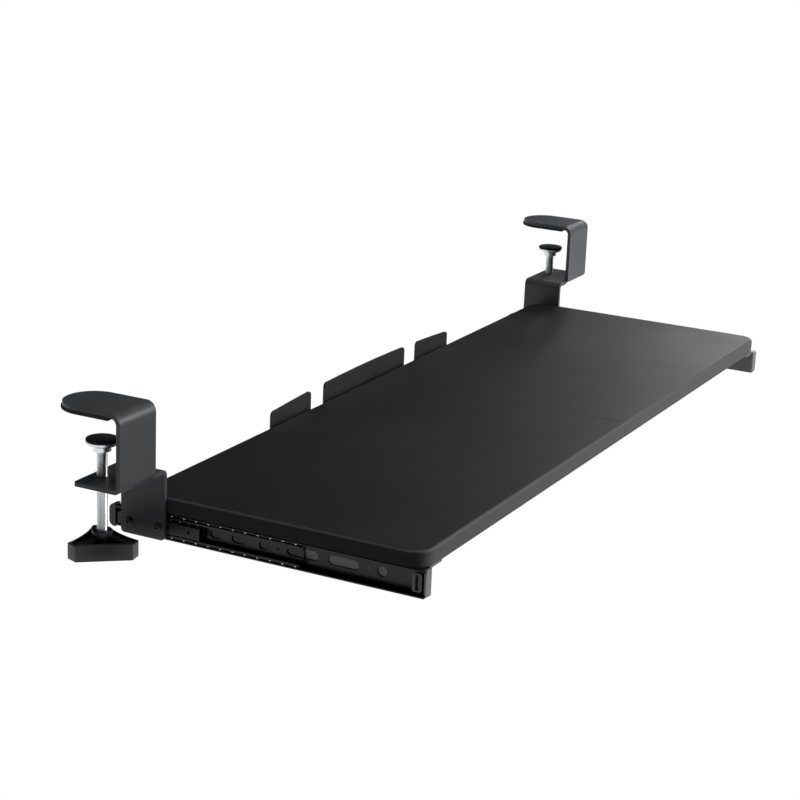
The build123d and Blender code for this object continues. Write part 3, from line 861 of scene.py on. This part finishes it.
@dataclass
class DeskClamp:
    """One C-shaped clamp with its pads, screw, foot and knob."""

    side: Side
    thread_pitch: float = 1.5 * MM
    thread_depth: float = 0.35 * MM
    thread_slope: float = 1.25
    thread_segments: int = 40
    rings_per_turn: int = 6
    pad_roll: float = 0.6 * MM
    arc_points: int = 40
    knob_turn: float = radians(39.5)

    def build(self) -> None:
        """Builds and dresses every piece of the clamp."""
        dress(self.side.node("clamp_bracket"), COAT)
        dress(self.side.node("web_screws"), OXIDE)
        dress(self.side.node("pressure_foot"), ZINC)
        self.build_jaw_pad()
        self.build_foot_pad()
        self.build_screw()
        self.build_knob()

    def build_jaw_pad(self) -> None:
        """Builds the rubber pad under the top plate, square in front and round behind."""
        low, high = (Vector(corner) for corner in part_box(self.side.node("jaw_pad")))
        radius = (high.x - low.x) / 2
        middle = (low.x + high.x) / 2
        arc_y = high.y - radius
        outline = []
        for step in range(self.arc_points + 1):
            turn = pi * step / self.arc_points
            outline.append(Vector((middle + radius * cos(turn), arc_y + radius * sin(turn), 0)))
        front = self.arc_points // 4
        for step in range(1, front):
            outline.append(Vector((low.x, arc_y + (low.y - arc_y) * step / front, 0)))
        for step in range(front + 1):
            outline.append(Vector((low.x + (high.x - low.x) * step / front, low.y, 0)))
        for step in range(1, front):
            outline.append(Vector((high.x, low.y + (arc_y - low.y) * step / front, 0)))
        centre = Vector((middle, (low.y + high.y) / 2, 0))
        form = PadShape(outline, centre, low.z, high.z, self.pad_roll).form()
        jaw_pad = self.side.node("jaw_pad")
        add_piece(self.side.node("jaw_rubber"), form, RUBBER, "clamps", jaw_pad)

    def build_foot_pad(self) -> None:
        """Builds the round rubber cap on the pressure foot."""
        low, high = (Vector(corner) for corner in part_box(self.side.node("foot_pad")))
        centre = (low + high) / 2
        radius = (high.x - low.x) / 2
        outline = []
        for step in range(2 * self.arc_points):
            turn = pi * step / self.arc_points
            outline.append(centre + Vector((radius * cos(turn), radius * sin(turn), 0)))
        form = PadShape(outline, centre, low.z, high.z, self.pad_roll).form()
        add_piece(
            self.side.node("foot_rubber"),
            form,
            RUBBER,
            self.side.node("foot"),
            self.side.node("foot_pad"),
        )

    def thread_radius(self, height: float, turn: float, crest: float) -> float:
        """Follows a V thread with flat crests.

        Args:
            height: Distance up the screw.
            turn: Angle round the screw, in radians.
            crest: Radius over the crests.

        Returns:
            The screw's radius at this point.
        """
        phase = height / self.thread_pitch - turn / (2 * pi)
        wave = abs(2 * (phase - floor(phase)) - 1)
        return crest - self.thread_depth * (1 - min(1.0, self.thread_slope * wave))

    def build_screw(self) -> None:
        """Builds the clamp screw with its thread cut as real relief."""
        low, high = (Vector(corner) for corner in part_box(self.side.node("clamp_screw")))
        axis = (low + high) / 2
        crest = (high.x - low.x) / 2
        step = self.thread_pitch / self.rings_per_turn
        count = int((high.z - low.z) / step)
        rings = []
        for level in range(count + 1):
            height = (high.z - low.z) * level / count
            run_out = min(height, high.z - low.z - height)
            limit = crest - max(0.0, self.thread_pitch - run_out)
            ring = []
            for segment in range(self.thread_segments):
                turn = 2 * pi * segment / self.thread_segments
                radius = min(limit, self.thread_radius(height, turn, crest))
                across, along = radius * cos(turn), radius * sin(turn)
                ring.append(Vector((axis.x + across, axis.y + along, low.z + height)))
            rings.append(ring)
        form = bmesh.new()
        loft(form, rings)
        add_piece(
            self.side.node("threaded_screw"),
            form,
            ZINC,
            self.side.node("screw"),
            self.side.node("clamp_screw"),
            smooth_angle=THREAD_SMOOTH_ANGLE,
        )

    def build_knob(self) -> None:
        """Builds the knob round the screw's lower end, turned as its node is."""
        low, high = (Vector(corner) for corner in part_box(self.side.node("clamp_screw")))
        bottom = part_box(self.side.node("clamp_knob"))[0][2]
        axis = Vector(((low.x + high.x) / 2, (low.y + high.y) / 2, bottom))
        turn = self.knob_turn if self.side is Side.LEFT else pi - self.knob_turn
        add_piece(
            self.side.node("three_cornered_knob"),
            KnobShape(axis, turn).form(),
            PLASTIC,
            self.side.node("screw"),
            self.side.node("clamp_knob"),
        )


@dataclass
class BallSlide:
    """One three-member slide with its cages, balls, rivets, buffer and side bracket."""

    side: Side
    rails: tuple[str, ...] = (
        "fixed_rail",
        "middle_rail",
        "tray_rail",
        "outer_ball_cage",
        "inner_ball_cage",
    )
    balls: tuple[str, ...] = ("outer_balls", "inner_balls")

    def build(self) -> None:
        """Dresses every piece of the slide."""
        for piece in self.rails:
            dress(self.side.node(piece), RAIL)
        for piece in self.balls:
            dress(self.side.node(piece), BALL, smooth_angle=BALL_SMOOTH_ANGLE)
        dress(self.side.node("rail_rivets"), OXIDE)
        dress(self.side.node("rail_buffer"), NYLON)
        dress(self.side.node("middle_rail_stop"), PLASTIC)
        dress(self.side.node("side_bracket"), BRACKET_COAT)
        dress(self.side.node("bracket_screws"), ZINC)


@dataclass
class TrayTop:
    """The two boards with their dowels, joining plate and cable fence."""

    boards: tuple[str, ...] = ("left_board", "right_board")

    def build(self) -> None:
        """Dresses the boards and what joins them."""
        for node in self.boards:
            dress(node, LAMINATE)
        dress("board_dowels", BEECH)
        # The fence's darker coat is painted shade from the desk's shadow
        dress("joining_plate", SHADED_FENCE_COAT)
        dress("joining_plate_screws", ZINC)


@dataclass(frozen=True)
class SoftBox:
    """A rectangular studio light."""

    name: str
    place: Triple
    aim: Triple
    width: float
    height: float
    power: float

    def hang(self) -> None:
        """Adds the light and points it at its aim."""
        lamp = bpy.data.lights.new(self.name, "AREA")
        lamp.shape = "RECTANGLE"
        lamp.size, lamp.size_y = self.width, self.height
        lamp.energy = self.power
        obj = bpy.data.objects.new(self.name, lamp)
        bpy.context.scene.collection.objects.link(obj)
        obj.location = self.place
        ray = Vector(self.aim) - Vector(self.place)
        obj.rotation_euler = ray.to_track_quat("-Z", "Y").to_euler()


@dataclass
class Studio:
    """Camera, pale floor and soft lights.

    The camera's place, turn and lens were fitted to edges of the object in the photograph.
    """

    camera_place: Triple = (-1.49449, -1.06846, 0.5572)
    camera_yaw: float = 62.963
    camera_pitch: float = 16.522
    camera_roll: float = 2.326
    focal_pixels: float = 2111.16
    picture_pixels: float = 800.0
    sensor: float = 36.0
    clip_near: float = 0.05
    clip_far: float = 200.0
    floor_level: float = -0.75
    room_radius: float = 30.0
    wall_height: float = 16.0
    room_segments: int = 64
    paper_strength: float = 1.0
    sky_tone: Triple = (0.9, 0.95, 1.0)
    sky_strength: float = 0.02
    lights: tuple[SoftBox, ...] = (
        SoftBox("key_light", (2.0, -2.4, 0.9), (0.6, -0.14, -0.1), 1.4, 1.0, 67.0),
        SoftBox("top_light", (0.0, -0.3, 2.4), (0.3, -0.14, -0.1), 1.6, 1.2, 23.0),
        SoftBox("sheen_light", (3.6, 0.2, 0.72), (0.9, -0.1, -0.1), 1.0, 0.8, 15.0),
    )

    def build(self) -> None:
        """Builds the whole studio."""
        self.add_camera()
        self.add_paper("studio_floor", self.floor_form(), seen_in_metal=True)
        self.add_paper("studio_wall", self.wall_form(), seen_in_metal=False)
        self.light_sky()
        for light in self.lights:
            light.hang()
        bpy.context.scene.view_settings.view_transform = "Standard"

    def add_camera(self) -> None:
        """Adds the camera at the photograph's viewpoint and makes it the scene's."""
        lens = bpy.data.cameras.new("camera")
        lens.sensor_width = self.sensor
        lens.lens = self.focal_pixels / self.picture_pixels * self.sensor
        lens.clip_start, lens.clip_end = self.clip_near, self.clip_far
        turns = (self.camera_yaw, self.camera_pitch, self.camera_roll)
        yaw, pitch, roll = (radians(turn) for turn in turns)
        ahead = Vector((sin(yaw) * cos(pitch), cos(yaw) * cos(pitch), -sin(pitch)))
        level_right = Vector((cos(yaw), -sin(yaw), 0.0))
        level_up = level_right.cross(ahead)
        right = cos(roll) * level_right + sin(roll) * level_up
        up = -sin(roll) * level_right + cos(roll) * level_up
        turn = Matrix((right, up, -ahead)).transposed().to_4x4()
        camera = bpy.data.objects.new("camera", lens)
        bpy.context.scene.collection.objects.link(camera)
        camera.matrix_world = Matrix.Translation(self.camera_place) @ turn
        bpy.context.scene.camera = camera

    def floor_form(self) -> bmesh.types.BMesh:
        """Builds a disc wide enough to fill every view from above.

        Returns:
            The floor's mesh.
        """
        form = bmesh.new()
        bmesh.ops.create_circle(
            form, cap_ends=True, segments=self.room_segments, radius=self.room_radius
        )
        bmesh.ops.translate(form, verts=form.verts, vec=(0, 0, self.floor_level))
        return form

    def wall_form(self) -> bmesh.types.BMesh:
        """Builds the round wall behind the floor, which fills level views.

        Returns:
            The wall's mesh.
        """
        form = bmesh.new()
        bmesh.ops.create_cone(
            form,
            cap_ends=False,
            segments=self.room_segments,
            radius1=self.room_radius,
            radius2=self.room_radius,
            depth=self.wall_height,
        )
        middle = self.floor_level + self.wall_height / 2
        bmesh.ops.translate(form, verts=form.verts, vec=(0, 0, middle))
        return form

    def add_paper(self, name: str, form: bmesh.types.BMesh, seen_in_metal: bool) -> None:
        """Adds one sheet of white backdrop, which adds no diffuse light to the object.

        Args:
            name: The sheet's name.
            form: The mesh, in place; it is freed.
            seen_in_metal: Whether the sheet shows in reflections.
        """
        mesh = bpy.data.meshes.new(name)
        form.to_mesh(mesh)
        form.free()
        paper = ShaderSheet(name)
        paper.put("Base Color", (0.0, 0.0, 0.0))
        paper.put("Specular IOR Level", 0.0)
        paper.put("Emission Color", (1.0, 1.0, 1.0))
        paper.put("Emission Strength", self.paper_strength)
        mesh.materials.append(paper.material)
        sheet = bpy.data.objects.new(name, mesh)
        sheet.visible_diffuse = False
        sheet.visible_glossy = seen_in_metal
        sheet.visible_shadow = False
        bpy.context.scene.collection.objects.link(sheet)

    def light_sky(self) -> None:
        """Fills the room with dim, slightly cool light."""
        world = bpy.data.worlds.new("studio_sky")
        world.use_nodes = True
        backdrop = world.node_tree.nodes["Background"]
        backdrop.inputs["Color"].default_value = (*self.sky_tone, 1.0)
        backdrop.inputs["Strength"].default_value = self.sky_strength
        bpy.context.scene.world = world


def main() -> None:
    """Builds every sub-assembly in order."""
    logging.basicConfig(level=logging.INFO, format="%(name)s: %(message)s")
    TrayTop().build()
    for side in Side:
        BallSlide(side).build()
        DeskClamp(side).build()
    Studio().build()


if __name__ == "__main__":
    main()
